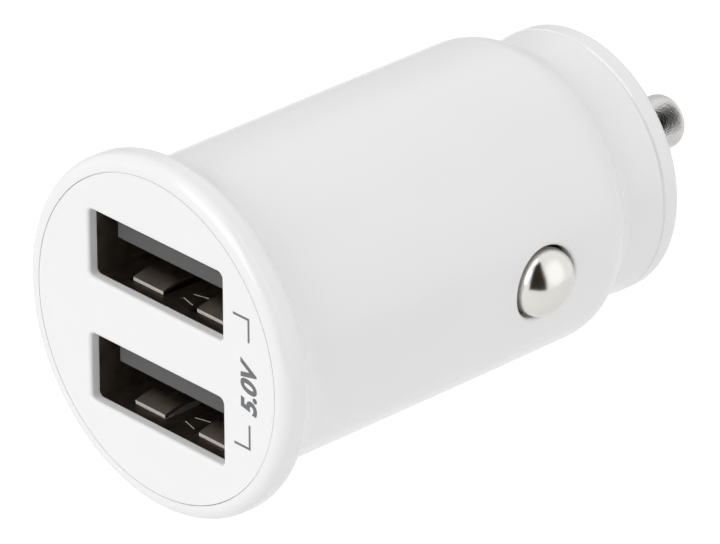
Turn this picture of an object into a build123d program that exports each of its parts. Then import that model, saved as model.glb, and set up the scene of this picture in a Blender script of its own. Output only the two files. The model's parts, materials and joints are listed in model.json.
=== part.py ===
"""A 12 V car charger plug with two stacked USB sockets in its face.

The plug's axis is Y: the front face is at y = 0 and faces -Y, and the tip contact points to +Y.
Z is up. Distances along the axis are counted from the front face, in millimetres.
"""
from build123d import *
from math import cos, radians, sin, sqrt, tan
import os

# Outer form of the housing
barrel_radius = 10.42
barrel_wall = 0.95
flange_radius = 12.2
rim_width = 1.1
rim_round = 0.85
rim_back_round = 0.6
flare_radius = 3.2
flange_depth = 4.75
grip_length = 16.45
lead_in_length = 8.8
lead_in_draft = 0.04
shoulder_round = 2.74
shoulder_slope = 42
neck_round = 1.2
neck_step = 1.53
neck_flare = 0.25
neck_length = 2.89
neck_wall = 1.45
joint_chamfer = 0.12
inner_shoulder_length = 2.0
inner_shoulder_setback = 1.0

# Faceplate, let into the flange
faceplate_thickness = 0.75
seam_gap = 0.03
faceplate_edge_round = 0.06
port_pitch = 8.84
port_rise = 0.17
opening_width = 12.5
opening_height = 4.8
opening_corner = 0.4
opening_round = 0.25
leg_thickness = 0.8
leg_width = 3.0
leg_length = 4.0
leg_clearance = 0.1
barb_height = 0.25
barb_length = 0.8

# Socket shells, folded from plated sheet
shell_inner_height = 5.2
shell_side_room = 0.1
shell_sheet = 0.25
shell_corner = 0.7
shell_drop = 0.1
shell_length = 13.0
shell_gap = 0.05
shell_relief = 0.1
shell_leg_height = 1.8
tab_spacing = 6.0
tab_width = 2.8
tab_slit = 0.25
tab_tip_inset = 1.35
tab_tip_lift = 0.15
tab_length = 4.6
tab_rise = 0.5
fold_seam = 0.08
fold_seam_offset = -0.3
lock_setback = 2.3
lock_reach = 1.15
lock_width = 1.35
lock_neck = 0.75

# Tongues and their contacts
tongue_width = 10.6
tongue_thickness = 1.5
tongue_rise = 0.9
tongue_recess = 1.5
tongue_chamfer = 0.25
block_length = 2.6
block_clearance = 0.05
strip_width = 1.0
strip_thickness = 0.25
strip_inner_pitch = 2.0
strip_outer_pitch = 2.5
strip_tip_inset = 1.2
strip_bow = 0.35
strip_bow_length = 5.0
strip_clearance = 0.05
pin_protrusion = 0.7

# Boards
board_thickness = 1.0
board_clearance = 0.1
board_gap = 0.05
rib_count = 4
rib_turn = 45
rib_height = 0.9
rib_root = 0.3
rib_width = 1.2
rib_length = 4.0
wide_board_half = 8.4
narrow_board_half = 4.3
wide_board_setback = 0.8
tab_board_width = 6.0

# Side contacts
contact_depth = 24.26
contact_height = -0.8
contact_hole_radius = 2.55
contact_hole_round = 0.2
contact_gap = 0.2
contact_reach = 1.31
contact_dome = 1.9
contact_wall = 0.4
contact_crown = 1.3
collar_width = 0.8
collar_thickness = 0.5
stop_gap = 0.08
side_wire = 0.4
side_turns = 3.5
spring_room = 0.25
spring_end_gap = 0.04
wire_flats = 6
bracket_sheet = 0.4
bracket_width = 4.4
bracket_height = 4.6
bracket_foot = 1.1
bracket_foot_width = 2.2
boss_height = 0.7
boss_room = 0.2

# Tip contact and nose cap
cap_thickness = 1.36
cap_edge_round = 0.4
cap_floor = 1.8
spigot_length = 2.4
spigot_wall = 1.2
spigot_clearance = 0.05
tip_radius = 1.86
tip_clearance = 0.06
tip_reach = 8.59
tip_dome = 1.4
tip_collar_radius = 3.2
tip_collar_thickness = 0.7
tip_stub_length = 1.4
tip_wire = 0.45
tip_turns = 3.25
board_tail = 0.93
plate_sheet = 0.4
plate_width = 6.4
plate_height = 5.6

# Parts of the converter
choke_radius = 3.2
choke_height = 4.5
choke_flange = 0.9
choke_post_radius = 1.4
choke_setback = 1.3
winding_inset = 0.3
winding_clearance = 0.05
input_can_radius = 3.15
output_can_radius = 2.5
can_height = 5.2
can_groove = 0.25
can_base_margin = 0.15
can_base_thickness = 0.8
can_spacing = 0.5
chip_length = 4.9
chip_width = 3.9
chip_height = 1.45
chip_lead_count = 4
chip_lead_pitch = 1.27
chip_lead_width = 0.42
chip_lead_reach = 1.0
chip_lead_thickness = 0.25
chip_gap = 0.5
diode_length = 4.3
diode_width = 2.6
diode_height = 2.2
diode_strap = 0.2
diode_strap_width = 1.3
diode_offset = -6.3
chip_part_length = 3.2
chip_part_width = 1.6
ceramic_height = 1.3
ceramic_offset = 5.3
resistor_height = 0.6
resistor_offset = 7.3
row_setback = 2.8
small_part_edge = 0.15
small_chip_length = 2.9
small_chip_width = 1.6
small_chip_height = 1.0
small_chip_rise = 2.0

# Radii and stations worked out from the sizes above
bore_radius = barrel_radius - barrel_wall
recess_radius = flange_radius - rim_width
faceplate_radius = recess_radius - seam_gap
lead_in_radius = barrel_radius - lead_in_draft
neck_radius = lead_in_radius - neck_step
tail_radius = neck_radius + neck_flare
neck_bore = neck_radius - neck_wall
grip_end = flange_depth + grip_length
barrel_end = grip_end + lead_in_length
shoulder_turn = radians(shoulder_slope)
shoulder_edge_radius = lead_in_radius - shoulder_round * (1 - cos(shoulder_turn))
shoulder_edge = barrel_end + shoulder_round * sin(shoulder_turn)
shoulder_foot_radius = neck_radius + neck_round * (1 - cos(shoulder_turn))
shoulder_foot = shoulder_edge + (shoulder_edge_radius - shoulder_foot_radius) / tan(shoulder_turn)
neck_start = shoulder_foot + neck_round * sin(shoulder_turn)
cap_joint = neck_start + neck_length
tail_end = cap_joint + cap_thickness

shell_front = faceplate_thickness + shell_gap
shell_end = shell_front + shell_length
shell_inner_width = opening_width + shell_side_room
shell_outer_width = shell_inner_width + 2 * shell_sheet
shell_outer_height = shell_inner_height + 2 * shell_sheet
shell_leg_offset = (shell_inner_width + shell_sheet) / 2
port_heights = {"upper": port_rise + port_pitch / 2, "lower": port_rise - port_pitch / 2}
shell_heights = {name: height - shell_drop for name, height in port_heights.items()}
strip_offsets = [
    -strip_inner_pitch / 2 - strip_outer_pitch,
    -strip_inner_pitch / 2,
    strip_inner_pitch / 2,
    strip_inner_pitch / 2 + strip_outer_pitch,
]

port_board_front = shell_end + board_gap
port_board_back = port_board_front + board_thickness
power_board_front = port_board_back + board_gap
board_top = contact_height + board_thickness / 2
board_bottom = contact_height - board_thickness / 2

dome_radius = contact_hole_radius - contact_gap
collar_radius = dome_radius + collar_width
dome_apex = barrel_radius + contact_reach
dome_base = dome_apex - contact_dome
collar_face = sqrt(bore_radius**2 - (abs(contact_height) + collar_radius) ** 2) - stop_gap
collar_back = collar_face - collar_thickness
pocket_radius = dome_radius - contact_wall
pocket_end = dome_apex - contact_crown
bracket_face = narrow_board_half + bracket_sheet

cap_inner_face = tail_end - cap_floor
tip_collar_back = cap_inner_face - stop_gap
tip_collar_front = tip_collar_back - tip_collar_thickness
tip_end = tail_end + tip_reach
tip_spring_radius = (tip_collar_radius + tip_radius) / 2 - tip_wire

choke_depth = power_board_front + choke_setback + choke_radius
chip_depth = choke_depth + choke_radius + chip_gap + chip_length / 2
plate_front = chip_depth + chip_length / 2 + board_tail
plate_back = plate_front + plate_sheet
tip_spring_length = tip_collar_front - plate_back

# A domed end passes this share of its radius and of its height halfway round its quarter ellipse
dome_share = sqrt(0.5)

os.makedirs("parts", exist_ok=True)


def cross_plane(depth):
    """Plane across the plug at a distance behind the face: its x is X and its y is Z."""
    return Plane.XZ.offset(-depth)


def side_plane(distance):
    """Plane along the plug at a distance to the right of the axis: its x is Y and its y is Z."""
    return Plane.YZ.offset(distance)


# Housing: flange, flare, barrel, shoulder and neck in one moulding
flare_centre = (barrel_radius + flare_radius, flange_depth)
back_round_radius = flange_radius - rim_back_round
back_round_depth = flange_depth - sqrt(
    (flare_radius + rim_back_round) ** 2 - (flare_centre[0] - back_round_radius) ** 2
)
back_round_share = rim_back_round / (flare_radius + rim_back_round)
rim_to_flare = (
    back_round_radius + back_round_share * (flare_centre[0] - back_round_radius),
    back_round_depth + back_round_share * (flare_centre[1] - back_round_depth),
)
groove_start = faceplate_thickness + leg_length - barb_length - leg_clearance
groove_end = faceplate_thickness + leg_length + leg_clearance
groove_radius = bore_radius + barb_height
inner_shoulder_start = barrel_end - inner_shoulder_setback
inner_shoulder_end = inner_shoulder_start + inner_shoulder_length

with BuildPart() as housing:
    with BuildSketch(Plane.XY):
        with BuildLine():
            Polyline(
                (bore_radius, groove_start),
                (bore_radius, faceplate_thickness),
                (recess_radius, faceplate_thickness),
                (recess_radius, 0),
                (flange_radius - rim_round, 0),
            )
            RadiusArc((flange_radius - rim_round, 0), (flange_radius, rim_round), -rim_round)
            Line((flange_radius, rim_round), (flange_radius, back_round_depth))
            RadiusArc((flange_radius, back_round_depth), rim_to_flare, -rim_back_round)
            RadiusArc(rim_to_flare, (barrel_radius, flange_depth), flare_radius)
            Polyline((barrel_radius, flange_depth), (barrel_radius, grip_end), (lead_in_radius, barrel_end))
            RadiusArc((lead_in_radius, barrel_end), (shoulder_edge_radius, shoulder_edge), -shoulder_round)
            Line((shoulder_edge_radius, shoulder_edge), (shoulder_foot_radius, shoulder_foot))
            RadiusArc((shoulder_foot_radius, shoulder_foot), (neck_radius, neck_start), neck_round)
            Polyline(
                (neck_radius, neck_start),
                (tail_radius, cap_joint - joint_chamfer),
                (tail_radius - joint_chamfer, cap_joint),
                (neck_bore, cap_joint),
                (neck_bore, inner_shoulder_end),
                (bore_radius, inner_shoulder_start),
                (bore_radius, groove_end),
                (groove_radius, groove_end),
                (groove_radius, groove_start),
                (bore_radius, groove_start),
            )
        make_face()
    revolve(axis=Axis.Y)
    # Reliefs in the bore for the corners of the two socket shells
    with BuildSketch(cross_plane(faceplate_thickness)):
        with Locations(*[(0, height) for height in shell_heights.values()]):
            RectangleRounded(
                shell_outer_width + 2 * shell_relief,
                shell_outer_height + 2 * shell_relief,
                shell_corner + shell_relief,
            )
    extrude(amount=-(port_board_front - faceplate_thickness), mode=Mode.SUBTRACT)
    # Stops for the round board
    with BuildSketch(cross_plane(port_board_back)):
        with PolarLocations(bore_radius + (rib_root - rib_height) / 2, rib_count, start_angle=rib_turn):
            Rectangle(rib_height + rib_root, rib_width)
    extrude(amount=-rib_length)
    # Holes for the side contacts, with rounded mouths
    with BuildSketch(side_plane(0)):
        with Locations((contact_depth, contact_height)):
            Circle(contact_hole_radius)
    extrude(amount=flange_radius, both=True, mode=Mode.SUBTRACT)
    hole_mouths = housing.edges(Select.LAST).filter_by(lambda edge: abs(edge.center().X) > bore_radius)
    fillet(hole_mouths, contact_hole_round)
housing.part.label = "housing"
export_step(housing.part, "parts/housing.step")

# Faceplate: disc with two rounded openings and four snap legs behind it
leg_outer = bore_radius - leg_clearance
leg_inner = leg_outer - leg_thickness
leg_end = faceplate_thickness + leg_length
barb_radius = leg_outer + barb_height

with BuildPart() as faceplate:
    with BuildSketch(Plane.XY):
        with BuildLine():
            Polyline(
                (leg_inner, faceplate_thickness / 2),
                (leg_outer, faceplate_thickness / 2),
                (leg_outer, leg_end - barb_length),
                (barb_radius, leg_end - barb_length),
                (leg_outer, leg_end),
                (leg_inner, leg_end),
                close=True,
            )
        make_face()
    revolve(axis=Axis.Y)
    with BuildSketch(cross_plane(0)):
        Rectangle(2 * flange_radius, leg_width)
        Rectangle(leg_width, 2 * flange_radius)
    extrude(amount=-leg_end, mode=Mode.INTERSECT)
    with BuildSketch(cross_plane(0)):
        Circle(faceplate_radius)
        with Locations(*[(0, height) for height in port_heights.values()]):
            RectangleRounded(opening_width, opening_height, opening_corner, mode=Mode.SUBTRACT)
    extrude(amount=-faceplate_thickness)
    face = faceplate.faces().sort_by(Axis.Y)[0]
    fillet(face.inner_wires().edges(), opening_round)
    face = faceplate.faces().sort_by(Axis.Y)[0]
    fillet(face.outer_wire().edges(), faceplate_edge_round)
faceplate.part.label = "faceplate"
export_step(faceplate.part, "parts/faceplate.step")

# Nose cap: end disc with a spigot in the neck and a hole for the tip
spigot_radius = neck_bore - spigot_clearance

with BuildPart() as nose_cap:
    with BuildSketch(Plane.XY):
        with BuildLine():
            Polyline(
                (tip_radius + tip_clearance, cap_inner_face),
                (spigot_radius - spigot_wall, cap_inner_face),
                (spigot_radius - spigot_wall, cap_joint - spigot_length),
                (spigot_radius, cap_joint - spigot_length),
                (spigot_radius, cap_joint),
                (tail_radius - joint_chamfer, cap_joint),
                (tail_radius, cap_joint + joint_chamfer),
                (tail_radius, tail_end - cap_edge_round),
            )
            RadiusArc(
                (tail_radius, tail_end - cap_edge_round),
                (tail_radius - cap_edge_round, tail_end),
                -cap_edge_round,
            )
            Polyline(
                (tail_radius - cap_edge_round, tail_end),
                (tip_radius + tip_clearance, tail_end),
                (tip_radius + tip_clearance, cap_inner_face),
            )
        make_face()
    revolve(axis=Axis.Y)
nose_cap.part.label = "nose_cap"
export_step(nose_cap.part, "parts/nose_cap.step")

# Tip contact: plated pin with a domed end, a collar inside the cap and a stub for its spring
stub_radius = tip_spring_radius - tip_wire

with BuildPart() as tip_contact:
    with BuildSketch(Plane.XY):
        with BuildLine():
            Polyline(
                (0, tip_end),
                (0, tip_collar_front - tip_stub_length),
                (stub_radius, tip_collar_front - tip_stub_length),
                (stub_radius, tip_collar_front),
                (tip_collar_radius, tip_collar_front),
                (tip_collar_radius, tip_collar_back),
                (tip_radius, tip_collar_back),
                (tip_radius, tip_end - tip_dome),
            )
            Spline(
                (tip_radius, tip_end - tip_dome),
                (tip_radius * dome_share, tip_end - tip_dome + tip_dome * dome_share),
                (0, tip_end),
                tangents=((0, 1), (-1, 0)),
            )
        make_face()
    revolve(axis=Axis.Y)
tip_contact.part.label = "tip_contact"
export_step(tip_contact.part, "parts/tip_contact.step")

# Tip spring, between the positive plate and the collar
tip_coil_height = tip_spring_length - tip_wire - 2 * spring_end_gap

with BuildPart() as tip_spring:
    with BuildLine() as tip_coil:
        Helix(
            pitch=tip_coil_height / tip_turns,
            height=tip_coil_height,
            radius=tip_spring_radius,
            center=(0, plate_back + tip_wire / 2 + spring_end_gap, 0),
            direction=(0, 1, 0),
        )
    with BuildSketch(Plane(origin=tip_coil.line @ 0, z_dir=tip_coil.line % 0)):
        RegularPolygon(tip_wire / 2, wire_flats)
    sweep(path=tip_coil.line, is_frenet=True)
tip_spring.part.label = "tip_spring"
export_step(tip_spring.part, "parts/tip_spring.step")

# Positive plate: seat of the tip spring at the end of the power board
with BuildPart() as positive_plate:
    with BuildSketch(cross_plane(plate_front)):
        RectangleRounded(plate_width, plate_height, plate_sheet)
    extrude(amount=-plate_sheet)
positive_plate.part.label = "positive_plate"
export_step(positive_plate.part, "parts/positive_plate.step")

# Side contacts, their springs and the brackets that seat them
side_spring_radius = pocket_radius - spring_room - side_wire / 2
side_coil_height = pocket_end - bracket_face - side_wire - 2 * spring_end_gap
boss_radius = side_spring_radius - side_wire / 2 - boss_room
coil_start = bracket_face + side_wire / 2 + spring_end_gap
dome_shoulder = dome_base + contact_dome * dome_share

for side, sign in (("right", 1), ("left", -1)):
    contact_axis = Axis((0, contact_depth, contact_height), (1, 0, 0))

    # Drawn cap: dome, skirt and a collar that stops against the bore
    with BuildPart() as side_contact:
        with BuildSketch(Plane.XY.offset(contact_height)):
            with BuildLine():
                Polyline(
                    (sign * dome_apex, contact_depth),
                    (sign * pocket_end, contact_depth),
                    (sign * pocket_end, contact_depth + pocket_radius),
                    (sign * collar_back, contact_depth + pocket_radius),
                    (sign * collar_back, contact_depth + collar_radius),
                    (sign * collar_face, contact_depth + collar_radius),
                    (sign * collar_face, contact_depth + dome_radius),
                    (sign * dome_base, contact_depth + dome_radius),
                )
                Spline(
                    (sign * dome_base, contact_depth + dome_radius),
                    (sign * dome_shoulder, contact_depth + dome_radius * dome_share),
                    (sign * dome_apex, contact_depth),
                    tangents=((sign, 0), (0, -1)),
                )
            make_face()
        revolve(axis=contact_axis)
    side_contact.part.label = f"side_contact_{side}"
    export_step(side_contact.part, f"parts/side_contact_{side}.step")

    with BuildPart() as side_spring:
        with BuildLine() as side_coil:
            Helix(
                pitch=side_coil_height / side_turns,
                height=side_coil_height,
                radius=side_spring_radius,
                center=(sign * coil_start, contact_depth, contact_height),
                direction=(sign, 0, 0),
            )
        with BuildSketch(Plane(origin=side_coil.line @ 0, z_dir=side_coil.line % 0)):
            RegularPolygon(side_wire / 2, wire_flats)
        sweep(path=side_coil.line, is_frenet=True)
    side_spring.part.label = f"side_spring_{side}"
    export_step(side_spring.part, f"parts/side_spring_{side}.step")

    # Angle bracket on the board's edge, with a boss that centres the spring
    with BuildPart() as ground_bracket:
        with BuildSketch(side_plane(sign * narrow_board_half)):
            with Locations((contact_depth, contact_height)):
                RectangleRounded(bracket_width, bracket_height, bracket_sheet)
        extrude(amount=sign * bracket_sheet)
        with BuildSketch(side_plane(sign * bracket_face)):
            with Locations((contact_depth, contact_height)):
                Circle(boss_radius)
        extrude(amount=sign * boss_height)
        with BuildSketch(Plane.XY.offset(board_top)):
            with Locations((sign * (bracket_face - (bracket_foot + bracket_sheet) / 2), contact_depth)):
                Rectangle(bracket_foot + bracket_sheet, bracket_foot_width)
        extrude(amount=bracket_sheet)
    ground_bracket.part.label = f"ground_bracket_{side}"
    export_step(ground_bracket.part, f"parts/ground_bracket_{side}.step")

# Sockets: shell, tongue and four contacts each
tongue_bottom = tongue_rise - tongue_thickness / 2
strip_top = tongue_bottom - strip_clearance
strip_bottom = strip_top - strip_thickness
strip_middle = strip_top - strip_thickness / 2
slot_width = strip_width + 2 * strip_clearance
slot_height = strip_thickness + 2 * strip_clearance
block_front = shell_end - block_length
tab_tip = shell_front + tab_tip_inset
tab_root = tab_tip + tab_length
lock_depth = shell_front + lock_setback
lock_end = fold_seam_offset + lock_reach
strip_tip = tongue_recess + strip_tip_inset
strip_end = port_board_back + pin_protrusion

for port, centre in shell_heights.items():
    floor = centre - shell_inner_height / 2
    floor_under = floor - shell_sheet

    # Folded tube: its edges meet in a dovetailed seam in the floor, between two sprung tabs
    with BuildPart() as port_shell:
        with BuildSketch(cross_plane(shell_front)):
            with Locations((0, centre)):
                RectangleRounded(shell_outer_width, shell_outer_height, shell_corner)
                RectangleRounded(
                    shell_inner_width, shell_inner_height, shell_corner - shell_sheet, mode=Mode.SUBTRACT
                )
        extrude(amount=-shell_length)
        with BuildSketch(cross_plane(shell_end)):
            with Locations((shell_leg_offset, centre), (-shell_leg_offset, centre)):
                Rectangle(shell_sheet, shell_leg_height)
        extrude(amount=-(strip_end - shell_end))
        with BuildSketch(Plane.XY.offset(floor_under)):
            with BuildLine():
                Polyline(
                    (fold_seam_offset, shell_front - fold_seam),
                    (fold_seam_offset, lock_depth - lock_neck / 2),
                    (lock_end, lock_depth - lock_width / 2),
                    (lock_end, lock_depth + lock_width / 2),
                    (fold_seam_offset, lock_depth + lock_neck / 2),
                    (fold_seam_offset, shell_end + fold_seam),
                )
            trace(line_width=fold_seam)
            with Locations(
                (tab_spacing / 2, (tab_tip + tab_root - tab_slit) / 2),
                (-tab_spacing / 2, (tab_tip + tab_root - tab_slit) / 2),
            ):
                Rectangle(tab_width + 2 * tab_slit, tab_length + tab_slit)
        extrude(amount=shell_sheet, mode=Mode.SUBTRACT)
        for offset in (tab_spacing / 2, -tab_spacing / 2):
            with BuildSketch(side_plane(offset)):
                with BuildLine():
                    crown = (tab_tip + tab_root) / 2
                    tip_under = floor_under + tab_tip_lift
                    tip_top = floor + tab_tip_lift
                    crown_under = floor_under + tab_rise
                    ThreePointArc((tab_tip, tip_under), (crown, crown_under), (tab_root, floor_under))
                    Line((tab_root, floor_under), (tab_root, floor))
                    ThreePointArc((tab_root, floor), (crown, floor + tab_rise), (tab_tip, tip_top))
                    Line((tab_tip, tip_top), (tab_tip, tip_under))
                make_face()
            extrude(amount=tab_width / 2, both=True)
    port_shell.part.label = f"{port}_port_shell"
    export_step(port_shell.part, f"parts/{port}_port_shell.step")

    # Tongue and the block that closes the shell's back, slotted for the contacts
    with BuildPart() as tongue:
        with BuildSketch(cross_plane(block_front)):
            with Locations((0, centre)):
                RectangleRounded(
                    shell_inner_width - 2 * block_clearance,
                    shell_inner_height - 2 * block_clearance,
                    shell_corner - shell_sheet,
                )
        extrude(amount=-block_length)
        with BuildSketch(cross_plane(tongue_recess)):
            with Locations((0, centre + tongue_rise)):
                Rectangle(tongue_width, tongue_thickness)
        extrude(amount=-(block_front - tongue_recess))
        chamfer(tongue.faces().sort_by(Axis.Y)[0].edges(), tongue_chamfer)
        with BuildSketch(cross_plane(block_front)):
            with Locations(*[(offset, centre + strip_middle) for offset in strip_offsets]):
                Rectangle(slot_width, slot_height)
        extrude(amount=-block_length, mode=Mode.SUBTRACT)
    tongue.part.label = f"{port}_tongue"
    export_step(tongue.part, f"parts/{port}_tongue.step")

    # Contacts: a sprung bow under the tongue, then straight through the block to the board
    for number, offset in enumerate(strip_offsets, start=1):
        with BuildPart() as contact_strip:
            with BuildSketch(side_plane(offset)):
                with BuildLine():
                    top = centre + strip_top
                    bottom = centre + strip_bottom
                    bow_middle = strip_tip + strip_bow_length / 2
                    bow_end = strip_tip + strip_bow_length
                    ThreePointArc((strip_tip, top), (bow_middle, top - strip_bow), (bow_end, top))
                    Polyline((bow_end, top), (strip_end, top), (strip_end, bottom), (bow_end, bottom))
                    ThreePointArc((bow_end, bottom), (bow_middle, bottom - strip_bow), (strip_tip, bottom))
                    Line((strip_tip, bottom), (strip_tip, top))
                make_face()
            extrude(amount=strip_width / 2, both=True)
        contact_strip.part.label = f"{port}_contact_{number}"
        export_step(contact_strip.part, f"parts/{port}_contact_{number}.step")

# Port board: round board behind the sockets
with BuildPart() as port_board:
    with BuildSketch(cross_plane(port_board_front)):
        Circle(bore_radius - board_clearance)
        for centre in shell_heights.values():
            with Locations(*[(offset, centre + strip_middle) for offset in strip_offsets]):
                Rectangle(slot_width, slot_height, mode=Mode.SUBTRACT)
            with Locations((shell_leg_offset, centre), (-shell_leg_offset, centre)):
                Rectangle(
                    shell_sheet + 2 * strip_clearance,
                    shell_leg_height + 2 * strip_clearance,
                    mode=Mode.SUBTRACT,
                )
        with Locations((0, contact_height)):
            Rectangle(
                tab_board_width + 2 * strip_clearance,
                board_thickness + 2 * strip_clearance,
                mode=Mode.SUBTRACT,
            )
    extrude(amount=-board_thickness)
port_board.part.label = "port_board"
export_step(port_board.part, "parts/port_board.step")

# Power board: wide behind the port board, narrow between the side contacts
wide_board_end = contact_depth - collar_radius - wide_board_setback

with BuildPart() as power_board:
    with BuildSketch(Plane.XY.offset(board_bottom)):
        with Locations((0, (power_board_front + wide_board_end) / 2)):
            Rectangle(2 * wide_board_half, wide_board_end - power_board_front)
        with Locations((0, (power_board_front + plate_front) / 2)):
            Rectangle(2 * narrow_board_half, plate_front - power_board_front)
        with Locations((0, (port_board_front + power_board_front) / 2)):
            Rectangle(tab_board_width, power_board_front - port_board_front)
    extrude(amount=board_thickness)
power_board.part.label = "power_board"
export_step(power_board.part, "parts/power_board.step")

# Choke: drum core and its winding, standing on the power board
choke_axis = Axis((0, choke_depth, 0), (0, 0, 1))
choke_top = board_top + choke_height

with BuildPart() as choke_core:
    with BuildSketch(Plane.YZ):
        with BuildLine():
            Polyline(
                (choke_depth, board_top),
                (choke_depth + choke_radius, board_top),
                (choke_depth + choke_radius, board_top + choke_flange),
                (choke_depth + choke_post_radius, board_top + choke_flange),
                (choke_depth + choke_post_radius, choke_top - choke_flange),
                (choke_depth + choke_radius, choke_top - choke_flange),
                (choke_depth + choke_radius, choke_top),
                (choke_depth, choke_top),
                close=True,
            )
        make_face()
    revolve(axis=choke_axis)
choke_core.part.label = "choke_core"
export_step(choke_core.part, "parts/choke_core.step")

winding_inner = choke_depth + choke_post_radius + winding_clearance
winding_outer = choke_depth + choke_radius - winding_inset
winding_height = choke_height - 2 * choke_flange - 2 * winding_clearance

with BuildPart() as choke_winding:
    with BuildSketch(Plane.YZ):
        with Locations(((winding_inner + winding_outer) / 2, board_top + choke_height / 2)):
            Rectangle(winding_outer - winding_inner, winding_height)
    revolve(axis=choke_axis)
choke_winding.part.label = "choke_winding"
export_step(choke_winding.part, "parts/choke_winding.step")

# Capacitor cans under the power board, each on a moulded base
input_can_depth = power_board_front + choke_setback + input_can_radius
can_gap = can_spacing + 2 * can_base_margin
output_can_depth = input_can_depth + input_can_radius + can_gap + output_can_radius

for role, can_radius, can_depth in (
    ("input", input_can_radius, input_can_depth),
    ("output", output_can_radius, output_can_depth),
):
    base_side = 2 * (can_radius + can_base_margin)
    can_top = board_bottom - can_base_thickness
    can_end = can_top - can_height

    with BuildPart() as can_base:
        with BuildSketch(Plane.XY.offset(can_top)):
            with Locations((0, can_depth)):
                Rectangle(base_side, base_side)
        extrude(amount=can_base_thickness)
        chamfer(can_base.edges().filter_by(Axis.Z).group_by(Axis.Y)[-1], can_base_thickness)
    can_base.part.label = f"{role}_capacitor_base"
    export_step(can_base.part, f"parts/{role}_capacitor_base.step")

    with BuildPart() as can:
        with BuildSketch(Plane.YZ):
            with BuildLine():
                Polyline(
                    (can_depth, can_end),
                    (can_depth, can_top),
                    (can_depth + can_radius, can_top),
                    (can_depth + can_radius, can_top - can_base_thickness + can_groove),
                    (can_depth + can_radius - can_groove, can_top - can_base_thickness),
                    (can_depth + can_radius, can_top - can_base_thickness - can_groove),
                    (can_depth + can_radius, can_end + can_groove),
                    (can_depth + can_radius - can_groove, can_end),
                    close=True,
                )
            make_face()
        revolve(axis=Axis((0, can_depth, 0), (0, 0, 1)))
    can.part.label = f"{role}_capacitor_can"
    export_step(can.part, f"parts/{role}_capacitor_can.step")

# Converter chip: moulded body with four leads on each side
with BuildPart() as converter_chip:
    with BuildSketch(Plane.XY.offset(board_top + chip_lead_thickness)):
        with Locations((0, chip_depth)):
            Rectangle(chip_width, chip_length)
    extrude(amount=chip_height - chip_lead_thickness)
    chamfer(converter_chip.faces().sort_by(Axis.Z)[-1].edges(), chip_lead_thickness)
    with BuildSketch(Plane.XY.offset(board_top)):
        with Locations((0, chip_depth)):
            with GridLocations(chip_width + chip_lead_reach, chip_lead_pitch, 2, chip_lead_count):
                Rectangle(chip_lead_reach, chip_lead_width)
    extrude(amount=2 * chip_lead_thickness)
converter_chip.part.label = "converter_chip"
export_step(converter_chip.part, "parts/converter_chip.step")

# Small parts in a row on the wide end of the power board
row_depth = power_board_front + row_setback

with BuildPart() as rectifier_diode:
    with BuildSketch(Plane.XY.offset(board_top + diode_strap)):
        with Locations((diode_offset, row_depth)):
            Rectangle(diode_width, diode_length)
    extrude(amount=diode_height - diode_strap)
    chamfer(rectifier_diode.faces().sort_by(Axis.Z)[-1].edges(), diode_strap)
    with BuildSketch(Plane.XY.offset(board_top)):
        with Locations((diode_offset, row_depth)):
            with GridLocations(0, diode_length - diode_strap_width, 1, 2):
                Rectangle(diode_strap_width, diode_strap_width)
    extrude(amount=diode_strap)
rectifier_diode.part.label = "rectifier_diode"
export_step(rectifier_diode.part, "parts/rectifier_diode.step")

for name, height, offset in (
    ("ceramic_capacitor", ceramic_height, ceramic_offset),
    ("sense_resistor", resistor_height, resistor_offset),
):
    with BuildPart() as chip_part:
        with BuildSketch(Plane.XY.offset(board_top)):
            with Locations((offset, row_depth)):
                Rectangle(chip_part_width, chip_part_length)
        extrude(amount=height)
        fillet(chip_part.edges().filter_by(Axis.X), small_part_edge)
    chip_part.part.label = name
    export_step(chip_part.part, f"parts/{name}.step")

# Charging control chip on the back of the port board
with BuildPart() as charging_chip:
    with BuildSketch(cross_plane(port_board_back)):
        with Locations((0, small_chip_rise)):
            Rectangle(small_chip_length, small_chip_width)
    extrude(amount=-small_chip_height)
    chamfer(charging_chip.faces().sort_by(Axis.Y)[-1].edges(), small_part_edge)
charging_chip.part.label = "charging_chip"
export_step(charging_chip.part, "parts/charging_chip.step")
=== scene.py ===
import json
import math

import bpy
import numpy as np
from bpy.props import FloatProperty, FloatVectorProperty, PointerProperty, StringProperty
from mathutils import Matrix, Vector


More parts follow.
